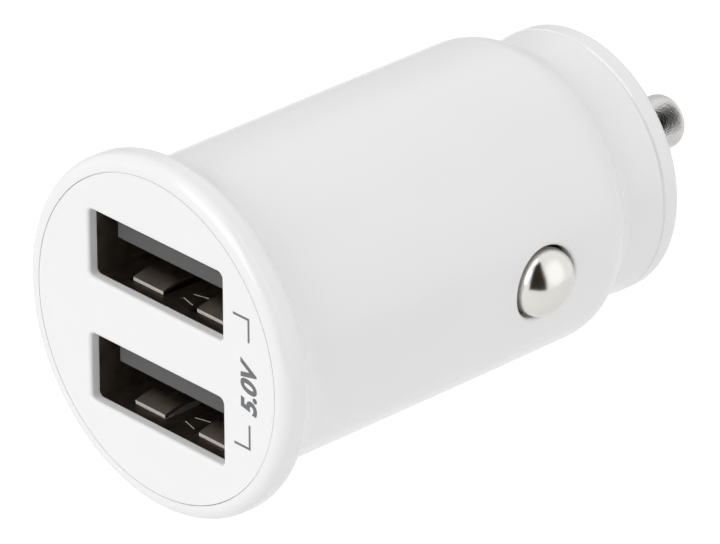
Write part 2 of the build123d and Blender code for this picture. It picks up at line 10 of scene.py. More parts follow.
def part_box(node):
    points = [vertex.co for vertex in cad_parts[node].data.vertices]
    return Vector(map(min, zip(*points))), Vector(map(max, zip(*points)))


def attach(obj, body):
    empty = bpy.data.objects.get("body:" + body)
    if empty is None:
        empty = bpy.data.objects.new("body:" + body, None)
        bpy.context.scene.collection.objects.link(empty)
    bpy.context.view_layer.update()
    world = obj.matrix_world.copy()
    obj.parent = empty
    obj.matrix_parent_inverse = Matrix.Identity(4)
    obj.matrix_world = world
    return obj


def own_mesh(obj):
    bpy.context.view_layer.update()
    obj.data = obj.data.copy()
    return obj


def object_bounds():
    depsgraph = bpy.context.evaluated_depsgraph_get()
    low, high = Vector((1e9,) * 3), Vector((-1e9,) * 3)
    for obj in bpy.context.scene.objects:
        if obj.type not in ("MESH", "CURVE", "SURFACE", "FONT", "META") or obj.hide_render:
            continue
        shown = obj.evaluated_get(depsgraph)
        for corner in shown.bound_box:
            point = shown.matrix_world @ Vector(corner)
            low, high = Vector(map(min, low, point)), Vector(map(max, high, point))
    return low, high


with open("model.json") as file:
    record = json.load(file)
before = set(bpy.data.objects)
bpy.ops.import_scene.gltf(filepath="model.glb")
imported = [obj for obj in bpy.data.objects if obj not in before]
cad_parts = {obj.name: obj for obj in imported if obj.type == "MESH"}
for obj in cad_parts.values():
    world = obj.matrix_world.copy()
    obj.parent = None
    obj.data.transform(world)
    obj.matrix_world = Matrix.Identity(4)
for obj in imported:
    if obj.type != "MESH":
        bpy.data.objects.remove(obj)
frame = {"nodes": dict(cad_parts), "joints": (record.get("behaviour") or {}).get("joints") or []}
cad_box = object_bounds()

bl_info = {
    "name": "Car charger looks",
    "version": (1, 0, 0),
    "blender": (4, 5, 0),
    "location": "3D View > Sidebar > Charger",
    "description": "Finishes, printed rating mark and studio for a car charger plug",
    "category": "Object",
}

MM = 0.001
WHITE = (1, 1, 1, 1)

# The photograph that the camera is matched to, in pixels
PHOTO_WIDTH = 720.0
PHOTO_HEIGHT = 544.0

# A noise texture's values lie mostly between these two
NOISE_LOW = 0.3
NOISE_HIGH = 0.7

# On the face, u runs up the plug (+Z), v runs to the left (-X) and height runs out of the face (-Y)
ON_FACE = np.array([(0, -1, 0), (0, 0, -1), (1, 0, 0)], float)


class ChargerMark(bpy.types.PropertyGroup):
    """Text and sizes of the printed mark."""

    bracket_stroke: FloatProperty(
        name="Bracket stroke",
        description="Width of the printed bracket lines",
        default=0.17 * MM,
        unit="LENGTH",
    )
    bracket_edge: FloatProperty(
        name="Bracket place",
        description="Distance of the brackets' upright lines from the axis",
        default=8.74 * MM,
        unit="LENGTH",
    )
    bracket_arm: FloatProperty(
        name="Bracket arm",
        description="Length of the brackets' level lines",
        default=1.42 * MM,
        unit="LENGTH",
    )
    upper_bracket: FloatVectorProperty(
        name="Upper bracket",
        description="Heights of the upper bracket's corner and free end",
        default=(4.72 * MM, 3.10 * MM),
        size=2,
        unit="LENGTH",
    )
    lower_bracket: FloatVectorProperty(
        name="Lower bracket",
        description="Heights of the lower bracket's corner and free end",
        default=(-4.40 * MM, -2.73 * MM),
        size=2,
        unit="LENGTH",
    )
    ink_thickness: FloatProperty(
        name="Ink thickness",
        description="Height of the printed ink above the face",
        default=0.008 * MM,
        unit="LENGTH",
    )
    rating_text: StringProperty(
        name="Rating",
        description="Characters of the printed rating",
        default="5.0V",
    )
    rating_length: FloatProperty(
        name="Rating length",
        description="Length of the printed rating",
        default=3.85 * MM,
        unit="LENGTH",
    )
    rating_height: FloatProperty(
        name="Rating height",
        description="Height of the printed rating's characters",
        default=1.5 * MM,
        unit="LENGTH",
    )
    rating_slant: FloatProperty(
        name="Rating slant",
        description="Lean of the printed characters",
        default=math.radians(12),
        subtype="ANGLE",
    )
    rating_weight: FloatProperty(
        name="Rating weight",
        description="Thickening of the characters' strokes, as a share of the type's size",
        default=0.04,
        subtype="FACTOR",
    )
    rating_place: FloatVectorProperty(
        name="Rating place",
        description="Centre of the printed rating",
        default=(8.7 * MM, 0.0, -0.04 * MM),
        subtype="TRANSLATION",
        unit="LENGTH",
    )


class ChargerStudio(bpy.types.PropertyGroup):
    """Floor, lamps, tent, dark card and camera."""

    floor_drop: FloatProperty(
        name="Floor drop",
        description="Distance of the floor below the plug",
        default=30 * MM,
        unit="LENGTH",
    )
    floor_half: FloatProperty(
        name="Floor half width",
        description="Half of the square floor's width",
        default=180 * MM,
        unit="LENGTH",
    )
    front_place: FloatVectorProperty(
        name="Front box",
        description="Place of the soft box in front of the face",
        default=(-0.08, -0.60, 0.36),
        subtype="TRANSLATION",
        unit="LENGTH",
    )
    front_size: FloatVectorProperty(
        name="Front box size",
        description="Width and height of the front box",
        default=(0.6, 0.6),
        size=2,
        unit="LENGTH",
    )
    front_power: FloatProperty(
        name="Front box power",
        description="Light that the front box gives",
        default=2.38,
        unit="POWER",
    )
    back_place: FloatVectorProperty(
        name="Back box",
        description="Place of the soft box behind the plug, on its right",
        default=(0.59, 0.33, 0.22),
        subtype="TRANSLATION",
        unit="LENGTH",
    )
    back_size: FloatVectorProperty(
        name="Back box size",
        description="Width and height of the back box",
        default=(0.5, 1.0),
        size=2,
        unit="LENGTH",
    )
    back_power: FloatProperty(
        name="Back box power",
        description="Light that the back box gives",
        default=1.02,
        unit="POWER",
    )
    top_place: FloatVectorProperty(
        name="Top box",
        description="Place of the soft box above the plug",
        default=(-0.14, -0.21, 0.65),
        subtype="TRANSLATION",
        unit="LENGTH",
    )
    top_size: FloatVectorProperty(
        name="Top box size",
        description="Width and height of the top box",
        default=(0.5, 0.5),
        size=2,
        unit="LENGTH",
    )
    top_power: FloatProperty(
        name="Top box power",
        description="Light that the top box gives",
        default=0.44,
        unit="POWER",
    )
    tent_fill: FloatProperty(
        name="Tent fill",
        description="Mean level of the light that the tent gives to matt surfaces",
        default=0.62,
    )
    tent_slope: FloatProperty(
        name="Tent slope",
        description="Share by which the tent's fill is weaker in front and stronger behind",
        default=0.16,
        subtype="FACTOR",
    )
    opening_turn: FloatProperty(
        name="Opening azimuth",
        description="Turn of the tent's opening round the plug",
        default=math.radians(58),
        subtype="ANGLE",
    )
    opening_half: FloatProperty(
        name="Opening half width",
        description="Half of the angle that the tent's opening takes up",
        default=math.radians(26),
        subtype="ANGLE",
    )
    opening_top: FloatProperty(
        name="Opening top",
        description="Height angle of the opening's top",
        default=math.radians(78),
        subtype="ANGLE",
    )
    card_half: FloatProperty(
        name="Card half width",
        description="Half of the dark card's width",
        default=7 * MM,
        unit="LENGTH",
    )
    card_distance: FloatProperty(
        name="Card distance",
        description="Distance of the dark card from the axis, along the mirrored look",
        default=7 * MM,
        unit="LENGTH",
    )
    card_setback: FloatProperty(
        name="Card setback",
        description="Distance along the axis from the tip's end to the place that the card is moved out from",
        default=7.2 * MM,
        unit="LENGTH",
    )
    camera_turn: FloatProperty(
        name="Camera azimuth",
        description="Turn of the camera round the plug",
        default=math.radians(46.994),
        subtype="ANGLE",
    )
    camera_rise: FloatProperty(
        name="Camera elevation",
        description="Height angle of the camera",
        default=math.radians(27.364),
        subtype="ANGLE",
    )
    camera_roll: FloatProperty(
        name="Camera roll",
        description="Roll of the camera",
        default=math.radians(-0.242),
        subtype="ANGLE",
    )
    camera_focal: FloatProperty(
        name="Focal length",
        description="Focal length in pixels of the photograph",
        default=8974.5,
    )
    camera_scale: FloatProperty(
        name="Scale",
        description="Pixels per millimetre at the face",
        default=15.909091,
    )
    camera_centre: FloatVectorProperty(
        name="Face centre",
        description="Pixel of the face's centre",
        default=(155.197, 339.753),
        size=2,
    )


class ChargerColours(bpy.types.PropertyGroup):
    """Colours of the finishes, as sRGB hex values."""

    gloss_white: StringProperty(name="Housing", description="Polished white moulding", default="#efefef")
    satin_white: StringProperty(name="Faceplate", description="Satin white moulding", default="#f0f0f0")
    # The seam colour is a painted shadow, laid on the faceplate's edge on its upper right
    seam: StringProperty(name="Seam", description="Shadow in the seam round the faceplate", default="#8c8c8c")
    nickel: StringProperty(name="Side contacts", description="Bright nickel plate", default="#e2e0db")
    turned: StringProperty(name="Tip contact", description="Nickel plate on a turned pin", default="#d8d6d4")
    strip: StringProperty(name="Socket shells", description="Plated steel strip", default="#b4aaa0")
    sheared: StringProperty(name="Cut edges", description="Bare steel of the shells' cuts", default="#f3ede5")
    tongue: StringProperty(name="Tongues", description="Glass-filled moulding", default="#4b4b4b")
    gold: StringProperty(name="Socket contacts", description="Gold flash", default="#c79b4a")
    ink: StringProperty(name="Print", description="Grey printing ink", default="#6d6e70")
    mask: StringProperty(name="Boards", description="Solder mask", default="#1d5a34")
    copper: StringProperty(name="Winding", description="Enamelled copper wire", default="#a4532a")
    ferrite: StringProperty(name="Choke core", description="Sintered ferrite", default="#3b3b3d")
    can: StringProperty(name="Capacitor cans", description="Drawn aluminium", default="#c9cacc")
    epoxy: StringProperty(name="Chips", description="Moulding compound", default="#232325")
    ceramic: StringProperty(name="Ceramic capacitor", description="Fired ceramic", default="#96714a")
    tin: StringProperty(name="Brackets", description="Tinned brass sheet", default="#bdbab2")
    wire: StringProperty(name="Springs", description="Drawn steel wire", default="#9fa0a3")
    floor: StringProperty(name="Floor", description="Studio paper", default="#f4f4f4")
    room: StringProperty(name="Dark room", description="Room behind the tent's opening", default="#2c241c")
    card: StringProperty(name="Dark card", description="Black card beside the tip", default="#0c0c0c")


def linear(code):
    """An sRGB hex value as linear red, green, blue and alpha.

    The standard's curve starts straight and goes on as a power.
    """
    srgb = np.array([int(code[i : i + 2], 16) for i in (1, 3, 5)]) / 255
    return (*np.where(srgb <= 0.04045, srgb / 12.92, ((srgb + 0.055) / 1.055) ** 2.4).tolist(), 1.0)


def add_node(tree, kind, inputs=None, **settings):
    """Adds a node, sets its attributes or input values by name, and gives inputs a link or a value."""
    node = tree.nodes.new(kind)
    for key, value in settings.items():
        if hasattr(node, key):
            setattr(node, key, value)
        else:
            node.inputs[key.replace("_", " ")].default_value = value
    for key, source in (inputs or {}).items():
        if isinstance(source, bpy.types.NodeSocket):
            tree.links.new(source, node.inputs[key])
        else:
            node.inputs[key].default_value = source
    return node


def new_material(name):
    """An empty node material, its tree and its texture coordinates."""
    material = bpy.data.materials.new(name)
    material.use_nodes = True
    tree = material.node_tree
    tree.nodes.clear()
    return material, tree, add_node(tree, "ShaderNodeTexCoord")


def show(tree, shader, output="ShaderNodeOutputMaterial"):
    """Sends a shader to a material's output, or to a world's."""
    add_node(tree, output, {"Surface": shader.outputs[0]})


def per_metre(size_mm):
    """The texture scale that repeats a pattern once in this many millimetres."""
    return 1.0 / (size_mm * MM)


def shade_range(tree, factor, code, spread):
    """A ramp from a little darker to a little lighter than a colour, over a noise."""
    ramp = add_node(tree, "ShaderNodeValToRGB", {"Fac": factor})
    low, high = ramp.color_ramp.elements
    base = np.array(linear(code)[:3])
    low.color = (*(base * (1 - spread)), 1)
    high.color = (*np.minimum(base * (1 + spread), 1), 1)
    low.position, high.position = NOISE_LOW, NOISE_HIGH
    return ramp.outputs["Color"]


def gloss_range(tree, factor, roughness, spread):
    """A roughness that goes from a little below its mean to a little above it, over a noise."""
    limits = {"To_Min": roughness * (1 - spread), "To_Max": roughness * (1 + spread)}
    return add_node(tree, "ShaderNodeMapRange", {"Value": factor}, **limits).outputs["Result"]


def relief(tree, place, size_mm, depth_mm, detail, strength):
    """A noise of a real size, and the normal that it bends as a bump of a real depth."""
    noise = add_node(tree, "ShaderNodeTexNoise", {"Vector": place}, Scale=per_metre(size_mm), Detail=detail)
    height = noise.outputs["Fac"]
    bump = add_node(tree, "ShaderNodeBump", {"Height": height}, Strength=strength, Distance=depth_mm * MM)
    return height, bump.outputs["Normal"]


def painted_seam_shadow(tree, place, colour, radius, code, towards):
    """A colour that turns to the seam's painted shadow at a radius from the plug's axis, on one side of the
    plug.

    The place is taken square to the axis: its length tells how far the edge is passed, and its angle from
    the chosen side tells how much of the painted shadow shows there.
    """
    shade_start = 0.035 * MM
    shade_full = 0.015 * MM
    side_end = math.radians(63)
    side_full = math.radians(30)
    square = {0: place, 1: (1, 0, 1)}
    flat = add_node(tree, "ShaderNodeVectorMath", square, operation="MULTIPLY").outputs["Vector"]
    out = add_node(tree, "ShaderNodeVectorMath", {0: flat}, operation="LENGTH").outputs["Value"]
    edge = {"From_Min": radius - shade_start, "From_Max": radius - shade_full}
    past = add_node(tree, "ShaderNodeMapRange", {"Value": out}, **edge).outputs["Result"]
    way = add_node(tree, "ShaderNodeVectorMath", {0: flat}, operation="NORMALIZE").outputs["Vector"]
    sides = {0: way, 1: Vector(towards).normalized()}
    facing = add_node(tree, "ShaderNodeVectorMath", sides, operation="DOT_PRODUCT").outputs["Value"]
    turned = {"From_Min": math.cos(side_end), "From_Max": math.cos(side_full)}
    side = add_node(tree, "ShaderNodeMapRange", {"Value": facing}, **turned).outputs["Result"]
    shaded = add_node(tree, "ShaderNodeMath", {0: past, 1: side}, operation="MULTIPLY").outputs[0]
    # The painted shadow is mixed into the colour here
    mixed = {"Fac": shaded, "Color1": colour, "Color2": linear(code)}
    return add_node(tree, "ShaderNodeMixRGB", mixed).outputs["Color"]


def moulded(name, code, grain_mm, depth_mm, roughness, spread, seam=None, **shader):
    """A moulded plastic: slow flow shading through the part, and a fine skin texture in bump and gloss.

    Where the piece has a seam round it, a painted shadow darkens its colour there, on one side.
    """
    flow_mm = 9
    gloss_spread = 0.15
    material, tree, coordinates = new_material(name)
    place = coordinates.outputs["Object"]
    flow = add_node(tree, "ShaderNodeTexNoise", {"Vector": place}, Scale=per_metre(flow_mm), Detail=2.0)
    grain, normal = relief(tree, place, grain_mm, depth_mm, detail=3.0, strength=0.6)
    colour = shade_range(tree, flow.outputs["Fac"], code, spread)
    # A painted shadow in the seam, on one side of the piece
    if seam:
        colour = painted_seam_shadow(tree, place, colour, **seam)
    skin = {
        "Base Color": colour,
        "Normal": normal,
        "Roughness": gloss_range(tree, grain, roughness, gloss_spread),
    }
    show(tree, add_node(tree, "ShaderNodeBsdfPrincipled", skin, **shader))
    return material


def plated(name, code, roughness, stretch, line_mm, depth_mm, spread):
    """A metal skin: fine marks of its making in the bump, and a slight cloud in tone and gloss.

    The marks are a noise that is drawn out along the axes whose stretch is below 1.
    """
    cloud_mm = 2.5
    gloss_spread = 0.3
    material, tree, coordinates = new_material(name)
    place = coordinates.outputs["Object"]
    stretched = add_node(tree, "ShaderNodeMapping", {"Vector": place}, Scale=stretch).outputs["Vector"]
    _, normal = relief(tree, stretched, line_mm, depth_mm, detail=2.0, strength=0.5)
    noise = add_node(tree, "ShaderNodeTexNoise", {"Vector": place}, Scale=per_metre(cloud_mm), Detail=3.0)
    cloud = noise.outputs["Fac"]
    skin = {
        "Base Color": shade_range(tree, cloud, code, spread),
        "Normal": normal,
        "Roughness": gloss_range(tree, cloud, roughness, gloss_spread),
    }
    show(tree, add_node(tree, "ShaderNodeBsdfPrincipled", skin, Metallic=1.0))
    return material


def sheared_strip(name, code, roughness, edge_code, edge_roughness):
    """Plated strip that changes with how far a face looks to the plug's front, by its normal's Y.

    Slopes that look a little to the front are rubbed by what is plugged in, so they shine less as metal.
    Faces that look straight ahead are cuts, where bare and torn steel shows.
    """
    rub_start = -0.08
    cut_start = -0.6
    straight_ahead = -0.9
    rubbed_metal = 0.3
    rolled_out = (1.0, 0.08, 1.0)
    cloud_mm = 1.2
    gloss_spread = 0.3
    material, tree, coordinates = new_material(name)
    place = coordinates.outputs["Object"]
    rolled = add_node(tree, "ShaderNodeMapping", {"Vector": place}, Scale=rolled_out).outputs["Vector"]
    lines, normal = relief(tree, rolled, size_mm=0.08, depth_mm=0.002, detail=2.0, strength=0.5)
    noise = add_node(tree, "ShaderNodeTexNoise", {"Vector": place}, Scale=per_metre(cloud_mm), Detail=3.0)
    cloud = noise.outputs["Fac"]

    split = add_node(tree, "ShaderNodeSeparateXYZ", {"Vector": coordinates.outputs["Normal"]})
    ahead = {"Value": split.outputs["Y"]}
    torn = {"From_Min": cut_start, "From_Max": straight_ahead}
    cut = add_node(tree, "ShaderNodeMapRange", ahead, **torn).outputs["Result"]
    rubbed = {"From_Min": rub_start, "From_Max": straight_ahead, "To_Min": 1.0, "To_Max": rubbed_metal}
    metal = add_node(tree, "ShaderNodeMapRange", ahead, **rubbed).outputs["Result"]

    plate_gloss = gloss_range(tree, cloud, roughness, gloss_spread)
    gloss = add_node(tree, "ShaderNodeMix", {"Factor": cut, "A": plate_gloss, "B": edge_roughness})
    plate = shade_range(tree, cloud, code, spread=0.08)
    edge = shade_range(tree, lines, edge_code, spread=0.15)
    colour = add_node(tree, "ShaderNodeMixRGB", {"Fac": cut, "Color1": plate, "Color2": edge})
    skin = {
        "Base Color": colour.outputs["Color"],
        "Normal": normal,
        "Roughness": gloss.outputs["Result"],
        "Metallic": metal,
    }
    show(tree, add_node(tree, "ShaderNodeBsdfPrincipled", skin))
    return material


def finish(material, *names):
    """Gives a finish to CAD nodes."""
    for name in names:
        node = frame["nodes"][name]
        node.data.materials.clear()
        node.data.materials.append(material)


def new_piece(name, mesh, material):
    """An object at the origin that shows a mesh in one material."""
    mesh.materials.clear()
    mesh.materials.append(material)
    piece = bpy.data.objects.new(name, mesh)
    bpy.context.scene.collection.objects.link(piece)
    return piece


def bracket_outline(mark, corner, end):
    """The six points (u, v) of an L-shaped line on the face, from its free end round its corner.

    The upright line's middle is at the brackets' edge, and the arm's middle is at the corner's height. A
    bracket whose corner is below its end is read backwards, so that its points run the same way round.
    """
    half = mark.bracket_stroke / 2
    edge = -mark.bracket_edge
    way = math.copysign(1.0, corner - end)
    outer = corner + way * half
    inner = corner - way * half
    loop = np.array([
        (end, edge - half),
        (outer, edge - half),
        (outer, edge + mark.bracket_arm),
        (inner, edge + mark.bracket_arm),
        (inner, edge + half),
        (end, edge + half),
    ])
    return loop if way > 0 else loop[::-1]


def printed_outline(name, loop, thickness):
    """A thin solid on the face from a closed outline.

    The solid is the loop of points (u, v) at height 0 and again at the thickness, joined by a wall of quads.
    """
    count = len(loop)
    index = np.arange(count)
    following = np.roll(index, -1)
    points = np.vstack([np.c_[loop, np.zeros(count)], np.c_[loop, np.full(count, thickness)]])
    wall = np.c_[index, following, following + count, index + count].tolist()
    lids = [index[::-1].tolist(), (index + count).tolist()]
    mesh = bpy.data.meshes.new(name)
    mesh.from_pydata((points @ ON_FACE.T).tolist(), [], wall + lids)
    mesh.validate()
    return mesh


def printed_rating(name, mark):
    """The rating's characters as a thin solid on the face.

    The type is sheared by the tangent of its slant and made a mesh. Its points are stretched about their
    box's middle to the rating's length, height and ink thickness, raised by half that thickness, and carried
    to the rating's place.
    """
    letters = bpy.data.curves.new(name, "FONT")
    letters.body = mark.rating_text
    letters.shear = math.tan(mark.rating_slant)
    letters.offset = mark.rating_weight
    # Any depth serves here, because the points are stretched to the ink's thickness
    letters.extrude = 0.01
    source = bpy.data.objects.new(name, letters)
    bpy.context.scene.collection.objects.link(source)
    bpy.context.view_layer.update()
    mesh = bpy.data.meshes.new_from_object(source.evaluated_get(bpy.context.evaluated_depsgraph_get()))
    bpy.data.objects.remove(source)

    count = len(mesh.vertices)
    points = np.empty(count * 3)
    mesh.vertices.foreach_get("co", points)
    points = points.reshape(count, 3)
    low, high = points.min(0), points.max(0)
    wanted = np.array([mark.rating_length, mark.rating_height, mark.ink_thickness])
    raised = np.array([0, 0, mark.ink_thickness / 2])
    points = (points - (low + high) / 2) / (high - low) * wanted + raised
    points = points @ ON_FACE.T + np.array(mark.rating_place)
    mesh.vertices.foreach_set("co", points.ravel())
    mesh.update()
    return mesh


class CHARGER_OT_mouldings(bpy.types.Operator):
    """Finish the white mouldings"""

    bl_idname = "charger.mouldings"
    bl_label = "Mouldings"

    def execute(self, context):
        colours = context.scene.charger_colours
        # Polished ABS from a mirror-finished tool: a clear gloss with a faint swell in its reflections
        polished = {"grain_mm": 2.2, "depth_mm": 0.002, "roughness": 0.14, "spread": 0.006, "IOR": 1.54}
        finish(moulded("gloss_white_abs", colours.gloss_white, **polished), "housing", "nose_cap")

        # Spark-eroded ABS: a soft satin white; its grain is 0.05 mm, drawn at 0.16 mm so that it shows at all
        eroded = {"grain_mm": 0.16, "depth_mm": 0.006, "roughness": 0.46, "spread": 0.006, "IOR": 1.54}
        # Its edge is painted darker on the upper right: a painted shadow for the fine line of its seam, which
        # even light would wash out
        upper_right = (1, 0, 1)
        low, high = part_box("faceplate")
        seam = {"radius": (high[0] - low[0]) / 2, "code": colours.seam, "towards": upper_right}
        finish(moulded("satin_white_abs", colours.satin_white, seam=seam, **eroded), "faceplate")
        return {"FINISHED"}


class CHARGER_OT_contacts(bpy.types.Operator):
    """Finish the sprung contacts, their springs and their seats"""

    bl_idname = "charger.contacts"
    bl_label = "Contacts"

    def execute(self, context):
        colours = context.scene.charger_colours
        every_way = (1.0, 1.0, 1.0)
        rolled = (1.0, 0.15, 1.0)
        # Bright nickel over turned brass: a mirror whose unevenness breaks up what it reflects into speckles;
        # the tool's marks are finer than 0.05 mm, and are drawn at 0.17 mm and deeper so that they show
        turned = {"roughness": 0.12, "stretch": every_way, "line_mm": 0.17, "depth_mm": 0.08, "spread": 0.08}
        finish(plated("bright_nickel_turned", colours.turned, **turned), "tip_contact")

        # Bright nickel over a drawn cap: a mirror with a faint cloud
        drawn = {"roughness": 0.16, "stretch": every_way, "line_mm": 0.5, "depth_mm": 0.001, "spread": 0.02}
        dome = plated("bright_nickel_drawn", colours.nickel, **drawn)
        finish(dome, "side_contact_right", "side_contact_left")

        # Drawn steel wire: a soft grey gleam with a fine tooth from the die
        coiled = {"roughness": 0.3, "stretch": every_way, "line_mm": 0.1, "depth_mm": 0.002, "spread": 0.05}
        wire = plated("drawn_spring_wire", colours.wire, **coiled)
        finish(wire, "tip_spring", "side_spring_right", "side_spring_left")

        # Tinned brass sheet: a milky pale grey with faint lines along the plug
        tinned = {"roughness": 0.4, "stretch": rolled, "line_mm": 0.1, "depth_mm": 0.002, "spread": 0.04}
        tin = plated("tinned_brass_sheet", colours.tin, **tinned)
        finish(tin, "positive_plate", "ground_bracket_right", "ground_bracket_left")

        # Each spring that shortens with its contact, towards its seat, by the contact's whole travel, gets a
        # mesh of its own
        for joint in frame["joints"]:
            for spring in joint["deforming_nodes"]:
                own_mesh(frame["nodes"][spring["node"]])
        return {"FINISHED"}


class CHARGER_OT_sockets(bpy.types.Operator):
    """Finish the socket shells, tongues and contacts"""

    bl_idname = "charger.sockets"
    bl_label = "Sockets"

    def execute(self, context):
        colours = context.scene.charger_colours
        # Nickel-plated steel strip, rolled along the plug: a gloss drawn out that way, and pale dull cuts
        pressed = {"roughness": 0.33, "edge_code": colours.sheared, "edge_roughness": 0.6}
        strip = sheared_strip("nickel_plated_strip", colours.strip, **pressed)

        # Glass-filled PBT: a dull dark grey with a speckle of fibre; the fibres are about 0.01 mm thick, and
        # their speckle is drawn at 0.25 mm so that it shows
        filled = {"grain_mm": 0.25, "depth_mm": 0.004, "roughness": 0.55, "spread": 0.08, "IOR": 1.55}
        tongue = moulded("glass_filled_pbt", colours.tongue, **filled)

        # Gold flash on rolled bronze: a warm yellow gleam with faint lines along the plug
        rolled = (1.0, 0.1, 1.0)
        flashed = {"roughness": 0.22, "stretch": rolled, "line_mm": 0.08, "depth_mm": 0.0015, "spread": 0.04}
        gold = plated("gold_flashed_bronze", colours.gold, **flashed)

        for port in ("upper", "lower"):
            finish(strip, f"{port}_port_shell")
            finish(tongue, f"{port}_tongue")
            finish(gold, *[name for name in frame["nodes"] if name.startswith(f"{port}_contact_")])
        return {"FINISHED"}


class CHARGER_OT_converter(bpy.types.Operator):
    """Finish the boards and the converter's parts"""

    bl_idname = "charger.converter"
    bl_label = "Converter"

    def execute(self, context):
        colours = context.scene.charger_colours
        # Cured solder mask over glass cloth: a half-gloss green that dips and swells a little
        cured = {"grain_mm": 0.6, "depth_mm": 0.01, "roughness": 0.35, "spread": 0.12, "IOR": 1.5}
        finish(moulded("solder_mask", colours.mask, **cured), "port_board", "power_board")

        # Sintered ferrite: a dull charcoal grey with a fine grit
        sintered = {"grain_mm": 0.2, "depth_mm": 0.01, "roughness": 0.6, "spread": 0.1, "IOR": 1.6}
        finish(moulded("sintered_ferrite", colours.ferrite, **sintered), "choke_core")

        # Enamelled copper wire, wound turn on turn: a brown gleam with level ridges
        level = (0.05, 0.05, 1.0)
        wound = {"roughness": 0.3, "stretch": level, "line_mm": 0.3, "depth_mm": 0.03, "spread": 0.1}
        finish(plated("enamelled_copper_wire", colours.copper, **wound), "choke_winding")

        # Drawn aluminium: a bright silver gleam with faint upright draw lines
        upright = (1.0, 1.0, 0.1)
        drawn = {"roughness": 0.3, "stretch": upright, "line_mm": 0.1, "depth_mm": 0.002, "spread": 0.03}
        can = plated("drawn_aluminium_can", colours.can, **drawn)
        finish(can, "input_capacitor_can", "output_capacitor_can")

        # Moulding compound: a dull near-black with a sandy skin
        sandy = {"grain_mm": 0.15, "depth_mm": 0.005, "roughness": 0.6, "spread": 0.08, "IOR": 1.55}
        epoxy = moulded("moulding_compound", colours.epoxy, **sandy)
        finish(epoxy, "input_capacitor_base", "output_capacitor_base", "sense_resistor")
        finish(epoxy, "converter_chip", "charging_chip", "rectifier_diode")

        # Fired ceramic: a matt tan with a faint grain
        fired = {"grain_mm": 0.2, "depth_mm": 0.004, "roughness": 0.5, "spread": 0.08, "IOR": 1.6}
        finish(moulded("fired_ceramic", colours.ceramic, **fired), "ceramic_capacitor")
        return {"FINISHED"}


class CHARGER_OT_mark(bpy.types.Operator):
    """Print the rating and its brackets on the faceplate"""

    bl_idname = "charger.mark"
    bl_label = "Printed mark"

    def execute(self, context):
        mark, colours = context.scene.charger_mark, context.scene.charger_colours
        # Pad-printed ink: a thin dull film, a little uneven where it soaked into the grain
        film = {"grain_mm": 0.12, "depth_mm": 0.002, "roughness": 0.6, "spread": 0.06, "IOR": 1.48}
        ink = moulded("pad_print_ink", colours.ink, **film)

        brackets = {"print_upper_bracket": mark.upper_bracket, "print_lower_bracket": mark.lower_bracket}
        for name, (corner, end) in brackets.items():
            mesh = printed_outline(name, bracket_outline(mark, corner, end), mark.ink_thickness)
            bracket = new_piece(name, mesh, ink)
            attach(bracket, "plug_body")

        rating = new_piece("print_rating", printed_rating("print_rating", mark), ink)
        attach(rating, "plug_body")
        return {"FINISHED"}


def soft_box(name, place, aim, size, power):
    """A rectangular soft box that faces the aim."""
    light = bpy.data.lights.new(name, "AREA")
    light.shape = "RECTANGLE"
    light.size, light.size_y = size
    light.energy = power
    box = bpy.data.objects.new(name, light)
    box.location = place
    box.rotation_euler = (Vector(aim) - Vector(place)).to_track_quat("-Z", "Y").to_euler()
    bpy.context.scene.collection.objects.link(box)
    return box


def step_at(tree, value, angle, soft, measure):
    """A smooth step from 0 to 1 where a sine or cosine passes that of an angle.

    It is as wide as twice the soft angle.
    """
    step = {
        "interpolation_type": "SMOOTHSTEP",
        "From_Min": measure(angle + soft),
        "From_Max": measure(angle - soft),
    }
    return add_node(tree, "ShaderNodeMapRange", {"Value": value}, **step).outputs["Result"]


def tent_opening(tree, way, azimuth, half_width, top, soft):
    """1 inside an upright opening of the tent and 0 outside it.

    The ray's level direction is set against the opening's azimuth, and its height against the opening's top.
    """
    level = {0: way, 1: (1, 1, 0)}
    flat = add_node(tree, "ShaderNodeVectorMath", level, operation="MULTIPLY").outputs["Vector"]
    turn = add_node(tree, "ShaderNodeVectorMath", {0: flat}, operation="NORMALIZE").outputs["Vector"]
    sides = {0: turn, 1: (math.sin(azimuth), -math.cos(azimuth), 0)}
    facing = add_node(tree, "ShaderNodeVectorMath", sides, operation="DOT_PRODUCT").outputs["Value"]
    height = add_node(tree, "ShaderNodeSeparateXYZ", {"Vector": way}).outputs["Z"]
    across = step_at(tree, facing, half_width, soft, math.cos)
    below = step_at(tree, height, top, soft, math.sin)
    return add_node(tree, "ShaderNodeMath", {0: across, 1: below}, operation="MULTIPLY").outputs[0]


def tent_patch(tree, way, towards, radius, soft):
    """1 inside a round patch of the tent and 0 outside it, by the ray's angle from the patch's middle."""
    sides = {0: way, 1: Vector(towards).normalized()}
    facing = add_node(tree, "ShaderNodeVectorMath", sides, operation="DOT_PRODUCT").outputs["Value"]
    return step_at(tree, facing, radius, soft, math.cos)


def ray_kinds(tree):
    """Two factors: 1 for rays from the camera or through clear things, and 1 for rays that gloss sends on."""
    path = add_node(tree, "ShaderNodeLightPath")
    looks = {0: path.outputs["Is Camera Ray"], 1: path.outputs["Is Transmission Ray"]}
    seen = add_node(tree, "ShaderNodeMath", looks, operation="MAXIMUM").outputs[0]
    return seen, path.outputs["Is Glossy Ray"]


